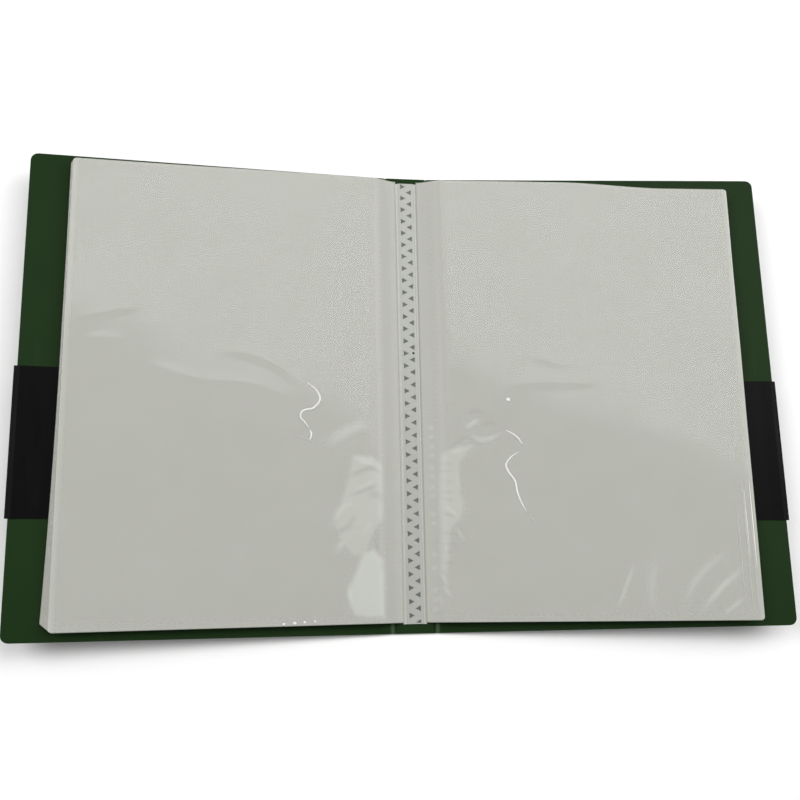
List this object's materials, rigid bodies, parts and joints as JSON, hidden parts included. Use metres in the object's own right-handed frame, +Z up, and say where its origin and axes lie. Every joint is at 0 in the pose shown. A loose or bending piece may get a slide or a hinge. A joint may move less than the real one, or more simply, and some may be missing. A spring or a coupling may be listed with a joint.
{
  "type": "stamp album",
  "caption": "Album of clear welded pockets in a creased plastic cover, lying open at its middle, with a card band round the cover. Covers close and the pockets turn.",
  "frame": {"origin": "centre of the underside of the spine, which the open album rests on", "axes": "+X towards the right-hand page, +Y towards the head of the pages, +Z up"},
  "size_m": [0.5064, 0.315, 0.0248],
  "materials": {
    "cover": "fine matte grain",
    "band": "satin",
    "film": "glossy milky clear film"
  },
  "bodies": {
    "spine": {"spine_panel": "cover", "band_spine": "band", "gutter_weld": "film"},
    "front_cover": {"front_cover": "cover", "band_front_wrap": "band"},
    "back_cover": {"back_cover": "cover", "band_back_wrap": "band"},
    "left_pocket_10": {"left_pocket_10": "film"},
    "left_pocket_09": {"left_pocket_09": "film"},
    "left_pocket_08": {"left_pocket_08": "film"},
    "left_pocket_07": {"left_pocket_07": "film"},
    "left_pocket_06": {"left_pocket_06": "film"},
    "left_pocket_05": {"left_pocket_05": "film"},
    "left_pocket_04": {"left_pocket_04": "film"},
    "left_pocket_03": {"left_pocket_03": "film"},
    "left_pocket_02": {"left_pocket_02": "film"},
    "left_pocket_01": {"left_pocket_01": "film"},
    "right_pocket_10": {"right_pocket_10": "film"},
    "right_pocket_09": {"right_pocket_09": "film"},
    "right_pocket_08": {"right_pocket_08": "film"},
    "right_pocket_07": {"right_pocket_07": "film"},
    "right_pocket_06": {"right_pocket_06": "film"},
    "right_pocket_05": {"right_pocket_05": "film"},
    "right_pocket_04": {"right_pocket_04": "film"},
    "right_pocket_03": {"right_pocket_03": "film"},
    "right_pocket_02": {"right_pocket_02": "film"},
    "right_pocket_01": {"right_pocket_01": "film"}
  },
  "joints": [
    {"name": "front_cover_hinge", "type": "hinge", "parent": "spine", "child": "front_cover", "pos_m": [-0.0145, 0, 0.0007], "axis": [0, 1, 0], "range_deg": [0, 85.5]},
    {"name": "back_cover_hinge", "type": "hinge", "parent": "spine", "child": "back_cover", "pos_m": [0.0145, 0, 0.0007], "axis": [0, -1, 0], "range_deg": [0, 85.5]},
    {"name": "left_pocket_10_turn", "type": "hinge", "parent": "spine", "child": "left_pocket_10", "pos_m": [-0.0074, 0, 0.0015], "axis": [0, 1, 0], "range_deg": [0, 85.5]},
    {"name": "left_pocket_09_turn", "type": "hinge", "parent": "left_pocket_10", "child": "left_pocket_09", "pos_m": [-0.00739, 0, 0.00162], "axis": [0, -1, 0], "range_deg": [-5.5, 0]},
    {"name": "left_pocket_08_turn", "type": "hinge", "parent": "left_pocket_09", "child": "left_pocket_08", "pos_m": [-0.00738, 0, 0.00174], "axis": [0, -1, 0], "range_deg": [-5.5, 0]},
    {"name": "left_pocket_07_turn", "type": "hinge", "parent": "left_pocket_08", "child": "left_pocket_07", "pos_m": [-0.00737, 0, 0.00186], "axis": [0, -1, 0], "range_deg": [-5.5, 0]},
    {"name": "left_pocket_06_turn", "type": "hinge", "parent": "left_pocket_07", "child": "left_pocket_06", "pos_m": [-0.00736, 0, 0.00198], "axis": [0, -1, 0], "range_deg": [-5.5, 0]},
    {"name": "left_pocket_05_turn", "type": "hinge", "parent": "left_pocket_06", "child": "left_pocket_05", "pos_m": [-0.00735, 0, 0.0021], "axis": [0, -1, 0], "range_deg": [-5.5, 0]},
    {"name": "left_pocket_04_turn", "type": "hinge", "parent": "left_pocket_05", "child": "left_pocket_04", "pos_m": [-0.00734, 0, 0.00222], "axis": [0, -1, 0], "range_deg": [-5.5, 0]},
    {"name": "left_pocket_03_turn", "type": "hinge", "parent": "left_pocket_04", "child": "left_pocket_03", "pos_m": [-0.00733, 0, 0.00234], "axis": [0, -1, 0], "range_deg": [-5.5, 0]},
    {"name": "left_pocket_02_turn", "type": "hinge", "parent": "left_pocket_03", "child": "left_pocket_02", "pos_m": [-0.00732, 0, 0.00246], "axis": [0, -1, 0], "range_deg": [-5.5, 0]},
    {"name": "left_pocket_01_turn", "type": "hinge", "parent": "left_pocket_02", "child": "left_pocket_01", "pos_m": [-0.00732, 0, 0.00258], "axis": [0, -1, 0], "range_deg": [-40, 0]},
    {"name": "right_pocket_10_turn", "type": "hinge", "parent": "spine", "child": "right_pocket_10", "pos_m": [0.0074, 0, 0.0015], "axis": [0, -1, 0], "range_deg": [0, 85.5]},
    {"name": "right_pocket_09_turn", "type": "hinge", "parent": "right_pocket_10", "child": "right_pocket_09", "pos_m": [0.00739, 0, 0.00162], "axis": [0, 1, 0], "range_deg": [-5.5, 0]},
    {"name": "right_pocket_08_turn", "type": "hinge", "parent": "right_pocket_09", "child": "right_pocket_08", "pos_m": [0.00738, 0, 0.00174], "axis": [0, 1, 0], "range_deg": [-5.5, 0]},
    {"name": "right_pocket_07_turn", "type": "hinge", "parent": "right_pocket_08", "child": "right_pocket_07", "pos_m": [0.00737, 0, 0.00186], "axis": [0, 1, 0], "range_deg": [-5.5, 0]},
    {"name": "right_pocket_06_turn", "type": "hinge", "parent": "right_pocket_07", "child": "right_pocket_06", "pos_m": [0.00736, 0, 0.00198], "axis": [0, 1, 0], "range_deg": [-5.5, 0]},
    {"name": "right_pocket_05_turn", "type": "hinge", "parent": "right_pocket_06", "child": "right_pocket_05", "pos_m": [0.00735, 0, 0.0021], "axis": [0, 1, 0], "range_deg": [-5.5, 0]},
    {"name": "right_pocket_04_turn", "type": "hinge", "parent": "right_pocket_05", "child": "right_pocket_04", "pos_m": [0.00734, 0, 0.00222], "axis": [0, 1, 0], "range_deg": [-5.5, 0]},
    {"name": "right_pocket_03_turn", "type": "hinge", "parent": "right_pocket_04", "child": "right_pocket_03", "pos_m": [0.00733, 0, 0.00234], "axis": [0, 1, 0], "range_deg": [-5.5, 0]},
    {"name": "right_pocket_02_turn", "type": "hinge", "parent": "right_pocket_03", "child": "right_pocket_02", "pos_m": [0.00732, 0, 0.00246], "axis": [0, 1, 0], "range_deg": [-5.5, 0]},
    {"name": "right_pocket_01_turn", "type": "hinge", "parent": "right_pocket_02", "child": "right_pocket_01", "pos_m": [0.00732, 0, 0.00258], "axis": [0, 1, 0], "range_deg": [-40, 0]}
  ],
  "couplings": [
    {"joint": "left_pocket_10_turn", "follows": "front_cover_hinge", "ratio": 1},
    {"joint": "right_pocket_10_turn", "follows": "back_cover_hinge", "ratio": 1}
  ]
}
